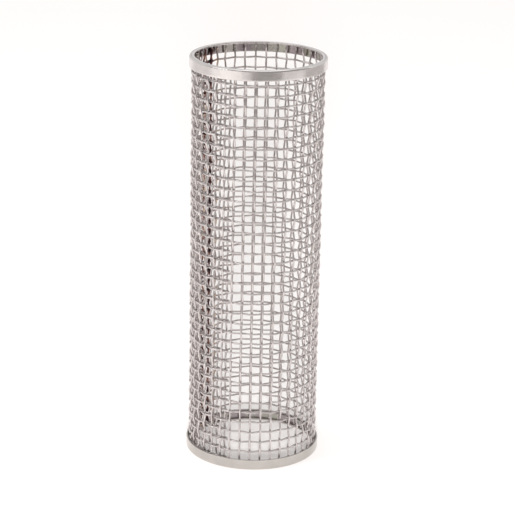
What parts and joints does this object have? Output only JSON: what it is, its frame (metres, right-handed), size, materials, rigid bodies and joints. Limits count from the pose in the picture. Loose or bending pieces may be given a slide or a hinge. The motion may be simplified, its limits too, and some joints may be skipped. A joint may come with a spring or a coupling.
{
  "type": "basket strainer screen",
  "caption": "Open-ended tubular strainer basket of square-mesh stainless wire cloth with a welded lap seam, held in a rolled steel band at each end.",
  "frame": {"origin": "centre of the lower rim, on the plane the basket stands on", "axes": "+Z along the basket's axis from the lower band to the upper one; +X and +Y across it, with the welded seam in the -X +Y quarter"},
  "size_m": [0.055, 0.055, 0.1665],
  "materials": {
    "end_band": "bright rolled stainless steel strip, lightly polished",
    "axial_wire": "bright drawn stainless steel wire",
    "hoop_wire": "bright drawn stainless steel wire",
    "seam_wire": "stainless steel wire with brown and straw heat tint from welding"
  },
  "bodies": {
    "root": {"top_band": "end_band", "bottom_band": "end_band", "axial_wire_01": "seam_wire", "axial_wire_02": "seam_wire", "axial_wire_03": "axial_wire", "axial_wire_04": "axial_wire", "axial_wire_05": "axial_wire", "axial_wire_06": "axial_wire", "axial_wire_07": "axial_wire", "axial_wire_08": "axial_wire", "axial_wire_09": "axial_wire", "axial_wire_10": "axial_wire", "axial_wire_11": "axial_wire", "axial_wire_12": "axial_wire", "axial_wire_13": "axial_wire", "axial_wire_14": "axial_wire", "axial_wire_15": "axial_wire", "axial_wire_16": "axial_wire", "axial_wire_17": "axial_wire", "axial_wire_18": "axial_wire", "axial_wire_19": "axial_wire", "axial_wire_20": "axial_wire", "axial_wire_21": "axial_wire", "axial_wire_22": "axial_wire", "axial_wire_23": "axial_wire", "axial_wire_24": "axial_wire", "axial_wire_25": "axial_wire", "axial_wire_26": "axial_wire", "axial_wire_27": "axial_wire", "axial_wire_28": "axial_wire", "axial_wire_29": "axial_wire", "axial_wire_30": "axial_wire", "axial_wire_31": "axial_wire", "axial_wire_32": "axial_wire", "axial_wire_33": "axial_wire", "axial_wire_34": "axial_wire", "axial_wire_35": "axial_wire", "axial_wire_36": "axial_wire", "axial_wire_37": "axial_wire", "axial_wire_38": "axial_wire", "axial_wire_39": "axial_wire", "axial_wire_40": "seam_wire", "axial_wire_41": "seam_wire", "hoop_wires_01": "hoop_wire", "hoop_wires_02": "hoop_wire", "hoop_wires_03": "hoop_wire", "hoop_wires_04": "hoop_wire", "hoop_wires_05": "hoop_wire", "hoop_wires_06": "hoop_wire", "hoop_wires_07": "hoop_wire", "hoop_wires_08": "hoop_wire", "hoop_wires_09": "hoop_wire", "hoop_wires_10": "hoop_wire", "hoop_wires_11": "hoop_wire", "hoop_wires_12": "hoop_wire", "hoop_wires_13": "hoop_wire"}
  },
  "joints": []
}
